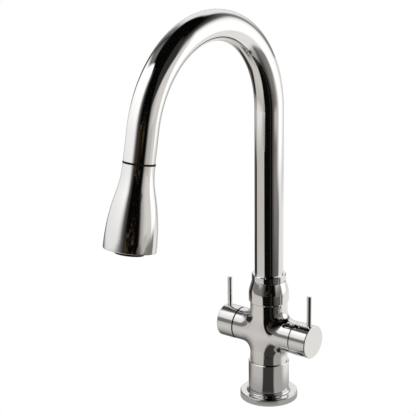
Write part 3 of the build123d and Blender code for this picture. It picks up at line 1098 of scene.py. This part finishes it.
class TAP_OT_studio(bpy.types.Operator):
    """Light the tap and set up the camera"""

    bl_idname = "tap.studio"
    bl_label = "Build Studio"

    def execute(self, context):
        settings = context.scene.tap_studio
        self.walls(context.scene, settings)
        self.floor(settings)
        self.table(settings)
        self.left_box(settings)
        self.right_box(settings)
        self.flag(settings)
        self.screen(settings)
        self.camera(context.scene, settings)
        context.scene.view_settings.view_transform = "Standard"
        return {"FINISHED"}

    def walls(self, scene, settings):
        """Far walls that the chrome reflects, with an even light for the rest."""
        world = bpy.data.worlds.new("studio")
        world.use_nodes = True
        scene.world = world
        tree = Tree(world.node_tree)
        path = tree.node("ShaderNodeLightPath")
        reflected = walls_light(tree, settings.heading)
        even = (0.85, 0.85, 0.85, 1.0)
        light = tree.mix(path.outputs["Is Glossy Ray"], even, reflected)
        light = tree.mix(path.outputs["Is Camera Ray"], light, WHITE)
        background = tree.node("ShaderNodeBackground", None, {"Color": light, "Strength": 1.0})
        tree.node("ShaderNodeOutputWorld", None, {"Surface": background.outputs[0]})

    def floor(self, settings):
        """White board whose own glow leaves only a faint shadow of the tap."""
        sides = 96
        glow_strength = 0.84
        matte_grey = (0.27, 0.27, 0.27, 1.0)
        mesh = bpy.data.meshes.new("floor")
        form = bmesh.new()
        bmesh.ops.create_circle(form, cap_ends=True, segments=sides, radius=settings.floor_radius)
        form.to_mesh(mesh)
        form.free()
        material = bpy.data.materials.new("white_board")
        material.use_nodes = True
        tree = Tree(material.node_tree)
        glow = tree.node("ShaderNodeEmission", None, {"Color": WHITE, "Strength": glow_strength})
        matte = tree.node("ShaderNodeBsdfDiffuse", None, {"Color": matte_grey})
        both = tree.node("ShaderNodeAddShader", None, {0: glow.outputs[0], 1: matte.outputs[0]})
        tree.node("ShaderNodeOutputMaterial", None, {"Surface": both.outputs[0]})
        material.cycles.emission_sampling = "NONE"
        board = mesh_object("floor", mesh, material)
        board.visible_glossy = False
        board.visible_diffuse = False
        board.visible_shadow = False

    def reflected_only(self, name, corners, settings, light, mask=None):
        """Flat glowing shape that only reflections see, soft where a mask fades."""
        mesh = bpy.data.meshes.new(name)
        mesh.from_pydata(corners, [], [range(len(corners))])
        material = bpy.data.materials.new(name)
        material.use_nodes = True
        tree = Tree(material.node_tree)
        glow = tree.node("ShaderNodeEmission", None, {"Color": light(tree), "Strength": 1.0})
        surface = glow.outputs[0]
        if mask:
            clear = tree.node("ShaderNodeBsdfTransparent")
            sockets = {0: mask(tree), 1: clear.outputs[0], 2: surface}
            surface = tree.node("ShaderNodeMixShader", None, sockets).outputs[0]
        tree.node("ShaderNodeOutputMaterial", None, {"Surface": surface})
        material.cycles.emission_sampling = "NONE"
        made = mesh_object(name, mesh, material)
        made.matrix_world = Matrix.Rotation(settings.heading, 4, "Z")
        made.visible_camera = False
        made.visible_diffuse = False
        made.visible_transmission = False
        made.visible_shadow = False

    def table(self, settings):
        """Tabletop just below the flange."""
        reach = settings.table_reach
        depth = -0.0005
        sides = ((-reach, -reach), (reach, -reach), (reach, reach), (-reach, reach))
        corners = [(x, y, depth) for x, y in sides]
        self.reflected_only("table", corners, settings, table_light)

    def left_box(self, settings):
        """Tall soft box on the left, brighter towards its top."""
        corners = upright(-settings.left_box, first=0.5, last=-0.5, low=0.0, high=0.95)

        def stand(tree):
            """Low dark stand beside the soft box, on the side away from the camera."""
            _right, front, up = studio_place(tree)
            return between(front, -0.40, -0.11, 0.06, 0.04) * up.smooth(0.20, 0.14)

        def light(tree):
            _right, _front, up = studio_place(tree)
            pale = tree.mix(up.smooth(0.2, 0.5), grey(222), grey(258))
            return tree.mix(stand(tree), pale, grey(38, 0.05))

        def mask(tree):
            _right, front, up = studio_place(tree)
            top = (up - front.smooth(0.0, 0.25) * 0.27).smooth(0.57, 0.50)
            foot = (up - front.smooth(0.15, 0.40) * 0.06).smooth(0.16, 0.22)
            pane = between(front, -0.13, 0.35, 0.09, 0.09) * foot * top
            return pane * (1 - stand(tree)) + stand(tree)

        self.reflected_only("left_box", corners, settings, light, mask)

    def right_box(self, settings):
        """Wide soft box on the right, most of it further from the camera than the tap."""
        corners = upright(settings.right_box, first=0.25, last=-0.75, low=0.0, high=0.95)

        def mask(tree):
            _right, front, up = studio_place(tree)
            return between(front, -0.42, 0.13, 0.25, 0.04) * between(up, 0.06, 0.70, 0.06, 0.22)

        self.reflected_only("right_box", corners, settings, lambda tree: grey(256), mask)

    def flag(self, settings):
        """Dark cloth that keeps the pale wall out of the arch's inner side."""
        corners = upright(settings.flag, first=0.1, last=0.8, low=0.4, high=1.0)

        def mask(tree):
            _right, front, up = studio_place(tree)
            return between(front, 0.20, 0.75, 0.05, 0.05) * between(up, 0.49, 0.95, 0.03, 0.05)

        self.reflected_only("flag", corners, settings, lambda tree: grey(45, 0.06), mask)

    def screen(self, settings):
        """Low grey screen that darkens the right side of the collar and the column's foot."""
        corners = upright(settings.screen, first=0.35, last=0.0, low=0.0, high=0.25)

        def light(tree):
            _right, _front, up = studio_place(tree)
            return tree.mix(up.smooth(0.02, 0.15), grey(85, 0.05), grey(118, 0.04))

        def mask(tree):
            _right, front, up = studio_place(tree)
            return between(front, 0.055, 0.27, 0.025, 0.03) * up.smooth(0.19, 0.14)

        self.reflected_only("screen", corners, settings, light, mask)

    def camera(self, scene, settings):
        """Camera that looks at the target from its heading and height, tilted by its roll."""
        turn, rise, roll = settings.heading, settings.height, settings.roll
        level = math.cos(rise)
        back = Vector((math.sin(turn) * level, -math.cos(turn) * level, math.sin(rise)))
        right = Vector((math.cos(turn), math.sin(turn), 0))
        up = back.cross(right)
        tilted_right = right * math.cos(roll) + up * math.sin(roll)
        tilted_up = up * math.cos(roll) - right * math.sin(roll)
        near_clip, far_clip = 0.05, 20
        sensor = 36
        camera = bpy.data.objects.new("camera", bpy.data.cameras.new("camera"))
        scene.collection.objects.link(camera)
        camera.data.sensor_width = sensor
        camera.data.lens = settings.lens
        camera.data.clip_start = near_clip
        camera.data.clip_end = far_clip
        place = Vector(settings.target) + back * settings.distance
        facing = Matrix((tilted_right, tilted_up, back)).transposed()
        camera.matrix_world = Matrix.Translation(place) @ facing.to_4x4()
        scene.camera = camera


class TAP_PT_panel(bpy.types.Panel):
    """Sizes, colours and steps of the tap"""

    bl_label = "Tap"
    bl_idname = "TAP_PT_panel"
    bl_space_type = "VIEW_3D"
    bl_region_type = "UI"
    bl_category = "Tap"

    def draw(self, context):
        for name, group in GROUPS.items():
            settings = getattr(context.scene, name)
            box = self.layout.box()
            for key in group.__annotations__:
                box.prop(settings, key)
        for operator in OPERATORS:
            self.layout.operator(operator.bl_idname)


GROUPS = {
    "tap_chrome": Chrome,
    "tap_plastics": Plastics,
    "tap_body": Body,
    "tap_collar": Collar,
    "tap_hose": Hose,
    "tap_studio": Studio,
}
OPERATORS = (
    TAP_OT_metal,
    TAP_OT_plastics,
    TAP_OT_body,
    TAP_OT_collar,
    TAP_OT_hose,
    TAP_OT_nubs,
    TAP_OT_studio,
)


def register():
    for item in (*GROUPS.values(), *OPERATORS, TAP_PT_panel):
        bpy.utils.register_class(item)
    for name, group in GROUPS.items():
        setattr(bpy.types.Scene, name, PointerProperty(type=group))


def unregister():
    for name in GROUPS:
        delattr(bpy.types.Scene, name)
    for item in reversed((*GROUPS.values(), *OPERATORS, TAP_PT_panel)):
        bpy.utils.unregister_class(item)


def main():
    register()
    bpy.ops.tap.metal()
    bpy.ops.tap.plastics()
    bpy.ops.tap.body()
    bpy.ops.tap.collar()
    bpy.ops.tap.hose()
    bpy.ops.tap.nubs()
    bpy.ops.tap.studio()


if __name__ == "__main__":
    main()
